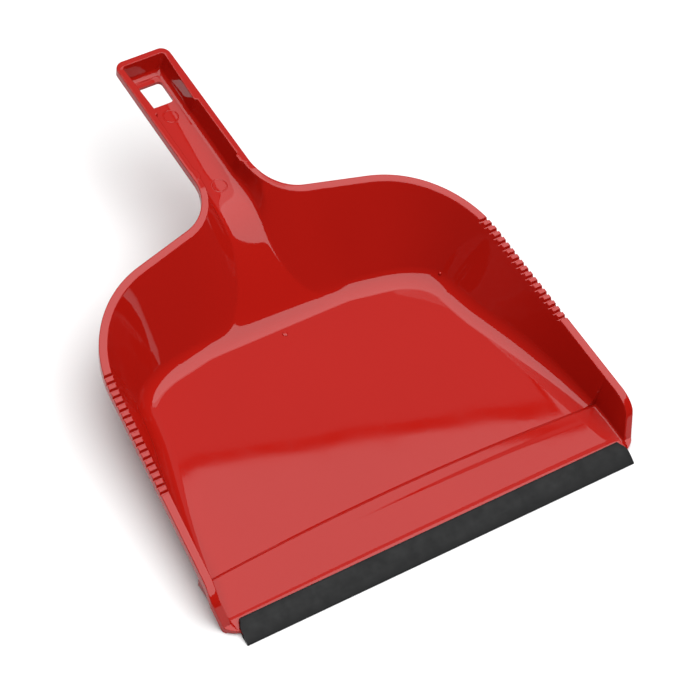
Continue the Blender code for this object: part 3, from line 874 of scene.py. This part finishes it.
@dataclass
class RubberLip:
    """The black rubber channel that is pushed over the front edge."""

    half: float = 115.0
    back_half: float = 112.3
    shoulder_y: float = 7.0
    back_y: float = 13.1
    top: Rows = ((0.0, 0.35), (0.15, 0.62), (0.5, 0.98), (2.0, 1.9), (3.5, 2.72), (5.0, 3.38),
                 (6.5, 3.9), (8.0, 4.3), (9.5, 4.58), (11.0, 4.76), (12.0, 4.84), (12.6, 4.8),
                 (12.95, 4.64), (13.1, 4.35), (13.1, 2.92))
    under: Rows = ((9.0, 2.88), (4.3, 2.85), (4.3, 0.85), (9.6, 0.85), (10.1, 0.45), (9.9, 0.0), (0.5, 0.0))
    slices: int = 60
    bevel: Plan = (0.12, 50.0)
    shade_angle: float = 35.0

    def half_at(self, y: float) -> float:
        """Return the half length of the lip at y, shorter behind its shoulders."""
        f = ease((y - self.shoulder_y) / (self.back_y - self.shoulder_y))
        return self.half + (self.back_half - self.half) * f

    def build(self) -> bpy.types.Object:
        """Draw the profile as a face, pull it across the mouth and round its ends."""
        profile = list(self.top) + list(self.under)
        bpy.ops.object.select_all(action="DESELECT")
        bpy.ops.mesh.primitive_circle_add(vertices=len(profile), fill_type="NGON")
        obj = bpy.context.active_object
        for vertex, (y, z) in zip(obj.data.vertices, profile):
            vertex.co = (-self.half, y, z)
        step = 2 * self.half / self.slices
        bpy.ops.object.mode_set(mode="EDIT")
        bpy.ops.mesh.select_mode(type="FACE")
        bpy.ops.mesh.select_all(action="SELECT")
        bpy.ops.mesh.extrude_region_move(TRANSFORM_OT_translate={"value": (step, 0.0, 0.0)})
        for _ in range(self.slices - 1):
            bpy.ops.mesh.extrude_region_move(TRANSFORM_OT_translate={"value": (step, 0.0, 0.0)})
        bpy.ops.mesh.select_all(action="SELECT")
        bpy.ops.mesh.normals_make_consistent(inside=False)
        bpy.ops.object.mode_set(mode="OBJECT")
        for vertex in obj.data.vertices:
            x, y, _ = vertex.co
            vertex.co.x = x * self.half_at(y) / self.half
        width, angle = self.bevel
        apply_modifier(obj, "BEVEL", width=width, segments=2, limit_method="ANGLE",
                       angle_limit=math.radians(angle))
        obj.name = "wiping_lip"
        obj.data.name = obj.name
        Frame().settle(obj)
        smooth_by_angle(obj, self.shade_angle)
        return obj


# ---- finishes --------------------------------------------------------------------------------
@dataclass
class Shader:
    """A small builder for one node material."""

    name: str

    def __post_init__(self) -> None:
        """Make the material and find its shader."""
        self.material = bpy.data.materials.new(self.name)
        self.material.use_nodes = True
        self.tree = self.material.node_tree
        self.principled = self.tree.nodes["Principled BSDF"]
        self.coords = self.tree.nodes.new("ShaderNodeTexCoord").outputs["Object"]

    def mapped(self, scale: tuple[float, float, float]) -> bpy.types.NodeSocket:
        """Return object coordinates, scaled."""
        node = self.tree.nodes.new("ShaderNodeMapping")
        node.inputs["Scale"].default_value = scale
        self.tree.links.new(self.coords, node.inputs["Vector"])
        return node.outputs["Vector"]

    def noise(self, scale: float, detail: float = 2.0, roughness: float = 0.5,
              vector: bpy.types.NodeSocket | None = None) -> bpy.types.NodeSocket:
        """Return a noise value between 0 and 1."""
        node = self.tree.nodes.new("ShaderNodeTexNoise")
        node.inputs["Scale"].default_value = scale
        node.inputs["Detail"].default_value = detail
        node.inputs["Roughness"].default_value = roughness
        self.tree.links.new(vector or self.coords, node.inputs["Vector"])
        return node.outputs["Fac"]

    def span(self, value: bpy.types.NodeSocket, low: float, high: float, start: float = 0.0,
             stop: float = 1.0) -> bpy.types.NodeSocket:
        """Return a value mapped from start..stop to low..high and held between them."""
        node = self.tree.nodes.new("ShaderNodeMapRange")
        node.inputs["From Min"].default_value = start
        node.inputs["From Max"].default_value = stop
        node.inputs["To Min"].default_value = low
        node.inputs["To Max"].default_value = high
        self.tree.links.new(value, node.inputs["Value"])
        return node.outputs["Result"]

    def maths(self, operation: str, a: bpy.types.NodeSocket,
              b: bpy.types.NodeSocket | float) -> bpy.types.NodeSocket:
        """Return the result of one sum on two values."""
        node = self.tree.nodes.new("ShaderNodeMath")
        node.operation = operation
        self.tree.links.new(a, node.inputs[0])
        if isinstance(b, float):
            node.inputs[1].default_value = b
        else:
            self.tree.links.new(b, node.inputs[1])
        return node.outputs["Value"]

    def blend(self, factor: bpy.types.NodeSocket, a: tuple[float, float, float],
              b: tuple[float, float, float]) -> bpy.types.NodeSocket:
        """Return a colour between a and b."""
        node = self.tree.nodes.new("ShaderNodeMix")
        node.data_type = "RGBA"
        node.inputs["A"].default_value = (*a, 1.0)
        node.inputs["B"].default_value = (*b, 1.0)
        self.tree.links.new(factor, node.inputs["Factor"])
        return node.outputs["Result"]

    def bump(self, height: bpy.types.NodeSocket, strength: float, distance: float,
             base: bpy.types.NodeSocket | None = None) -> bpy.types.NodeSocket:
        """Return a normal bent by a height."""
        node = self.tree.nodes.new("ShaderNodeBump")
        node.inputs["Strength"].default_value = strength
        node.inputs["Distance"].default_value = distance
        self.tree.links.new(height, node.inputs["Height"])
        if base is not None:
            self.tree.links.new(base, node.inputs["Normal"])
        return node.outputs["Normal"]

    def feed(self, name: str, value: bpy.types.NodeSocket) -> None:
        """Link a value to the shader's socket of that name."""
        self.tree.links.new(value, self.principled.inputs[name])

    def fix(self, **values: float) -> None:
        """Set constant sockets on the shader, named with underscores for spaces."""
        for name, value in values.items():
            self.principled.inputs[name.replace("_", " ")].default_value = value


@dataclass(frozen=True)
class GlossPlastic:
    """Glossy red moulded plastic, a little uneven, with light scuffs on the floor."""

    colour: tuple[float, float, float] = (0.335, 0.0072, 0.0040)
    deep: tuple[float, float, float] = (0.315, 0.0060, 0.0032)
    smooth: float = 0.018
    rough: float = 0.04

    def make(self) -> bpy.types.Material:
        """Build the material."""
        shader = Shader("red_gloss_plastic")
        shader.feed("Base Color", shader.blend(shader.noise(14.0), self.deep, self.colour))
        handling = shader.span(shader.noise(45.0, 4.0, 0.6), self.smooth, self.rough, 0.3, 0.7)
        scuffs = shader.span(shader.noise(1.0, 3.0, 0.55, shader.mapped((900.0, 60.0, 60.0))),
                             0.0, 0.05, 0.62, 0.78)
        shader.feed("Roughness", shader.maths("ADD", handling, scuffs))
        sway = shader.bump(shader.noise(16.0, 1.0), 1.0, 0.00006)
        peel = shader.bump(shader.noise(420.0, 2.0), 0.06, 0.00002, sway)
        shader.feed("Normal", peel)
        shader.fix(IOR=1.385, Coat_Weight=0.0)
        return shader.material


@dataclass(frozen=True)
class MattRubber:
    """Black rubber, matt, with faint marks drawn along the lip."""

    colour: tuple[float, float, float] = (0.0055, 0.0057, 0.0059)
    dusty: tuple[float, float, float] = (0.010, 0.0103, 0.0106)

    def make(self) -> bpy.types.Material:
        """Build the material."""
        shader = Shader("black_rubber")
        drawn = shader.noise(1.0, 4.0, 0.6, shader.mapped((30.0, 420.0, 420.0)))
        shader.feed("Base Color", shader.blend(drawn, self.colour, self.dusty))
        shader.feed("Roughness", shader.span(shader.noise(160.0, 4.0, 0.6), 0.5, 0.7, 0.3, 0.7))
        grain = shader.bump(shader.noise(1500.0, 3.0), 0.35, 0.00006)
        shader.feed("Normal", shader.bump(drawn, 0.5, 0.0001, grain))
        shader.fix(IOR=1.5, Specular_IOR_Level=0.2)
        return shader.material


@dataclass(frozen=True)
class PaleFloor:
    """Plain white studio floor."""

    colour: tuple[float, float, float] = (0.76, 0.76, 0.76)

    def make(self) -> bpy.types.Material:
        """Build the material."""
        shader = Shader("studio_floor")
        shade = shader.blend(shader.noise(3.0), self.colour, tuple(c * 0.99 for c in self.colour))
        shader.feed("Base Color", shade)
        shader.fix(Roughness=0.9)
        return shader.material


# ---- studio ----------------------------------------------------------------------------------
@dataclass(frozen=True)
class Softbox:
    """A rectangular light that looks at a point."""

    name: str
    at: tuple[float, float, float]
    aim: tuple[float, float, float]
    size: tuple[float, float]
    power: float
    turn: float = 0.0

    def build(self) -> bpy.types.Object:
        """Add the light."""
        data = bpy.data.lights.new(self.name, "AREA")
        data.shape = "RECTANGLE"
        data.size, data.size_y = self.size
        data.energy = self.power
        obj = bpy.data.objects.new(self.name, data)
        bpy.context.scene.collection.objects.link(obj)
        obj.location = self.at
        look = Vector(self.at) - Vector(self.aim)
        aimed = look.to_track_quat("Z", "Y").to_matrix()
        spun = aimed @ Euler((0.0, 0.0, math.radians(self.turn))).to_matrix()
        obj.rotation_euler = spun.to_euler()
        return obj


@dataclass(frozen=True)
class Studio:
    """Pale floor, soft light and the camera."""

    softboxes: tuple[Softbox, ...] = (
        Softbox("overhead", (0.127, -0.885, 3.0), (0.127, -0.885, 0.0), (4.50, 4.92), 250.0, -17.0),
        Softbox("border", (0.889, 1.610, 3.0), (0.889, 1.610, 0.0), (4.50, 0.30), 9.5, -17.0),
        Softbox("rear", (1.35, 3.12, 3.0), (1.35, 3.12, 0.0), (6.0, 2.8), 28.0, -17.0),
    )
    ambient: float = 0.05
    floor_radius: float = 6.0
    camera_at: tuple[float, float, float] = (-0.63566, -0.71786, 1.18043)
    camera_right: tuple[float, float, float] = (0.82818, -0.54165, 0.14404)
    camera_up: tuple[float, float, float] = (0.35441, 0.70520, 0.61408)
    sensor: float = 36.0
    lens: float = 156.10

    def floor(self) -> bpy.types.Object:
        """Add the floor just under the object."""
        bpy.ops.mesh.primitive_circle_add(vertices=96, radius=self.floor_radius, fill_type="NGON")
        obj = bpy.context.active_object
        obj.name = "studio_floor"
        obj.data.materials.append(PaleFloor().make())
        return obj

    def world(self) -> None:
        """Set the even light from all round."""
        world = bpy.data.worlds.new("studio_air")
        world.use_nodes = True
        background = world.node_tree.nodes["Background"]
        background.inputs["Color"].default_value = (1.0, 1.0, 1.0, 1.0)
        background.inputs["Strength"].default_value = self.ambient
        bpy.context.scene.world = world
        bpy.context.scene.view_settings.view_transform = "Standard"

    def camera(self) -> bpy.types.Object:
        """Add the camera at its viewing angle and make it the scene's."""
        data = bpy.data.cameras.new("camera")
        data.sensor_width = self.sensor
        data.lens = self.lens
        data.clip_start = 0.01
        obj = bpy.data.objects.new("camera", data)
        bpy.context.scene.collection.objects.link(obj)
        right = Vector(self.camera_right).normalized()
        up = Vector(self.camera_up)
        up = (up - right * up.dot(right)).normalized()
        turn = Matrix((right, up, right.cross(up))).transposed()
        obj.matrix_world = Matrix.Translation(Vector(self.camera_at)) @ turn.to_4x4()
        bpy.context.scene.camera = obj
        return obj

    def build(self) -> None:
        """Set up everything round the object."""
        self.floor()
        self.world()
        for softbox in self.softboxes:
            softbox.build()
        self.camera()


# ---- assembly --------------------------------------------------------------------------------
def report(obj: bpy.types.Object) -> None:
    """Log a finished piece and how many faces it has."""
    LOG.info("%s: %d faces", obj.name, len(obj.data.polygons))


def main() -> None:
    """Build the pieces in order, dress them and set up the studio."""
    logging.basicConfig(level=logging.INFO, format="%(message)s")
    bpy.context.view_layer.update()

    pan = Pan().build()
    pan.data.materials.clear()
    pan.data.materials.append(GlossPlastic().make())
    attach(pan, "root")
    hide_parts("pan")
    report(pan)

    lip = RubberLip().build()
    lip.data.materials.clear()
    lip.data.materials.append(MattRubber().make())
    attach(lip, "root")
    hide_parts("rubber_lip")
    report(lip)

    Studio().build()


if __name__ == "__main__":
    main()
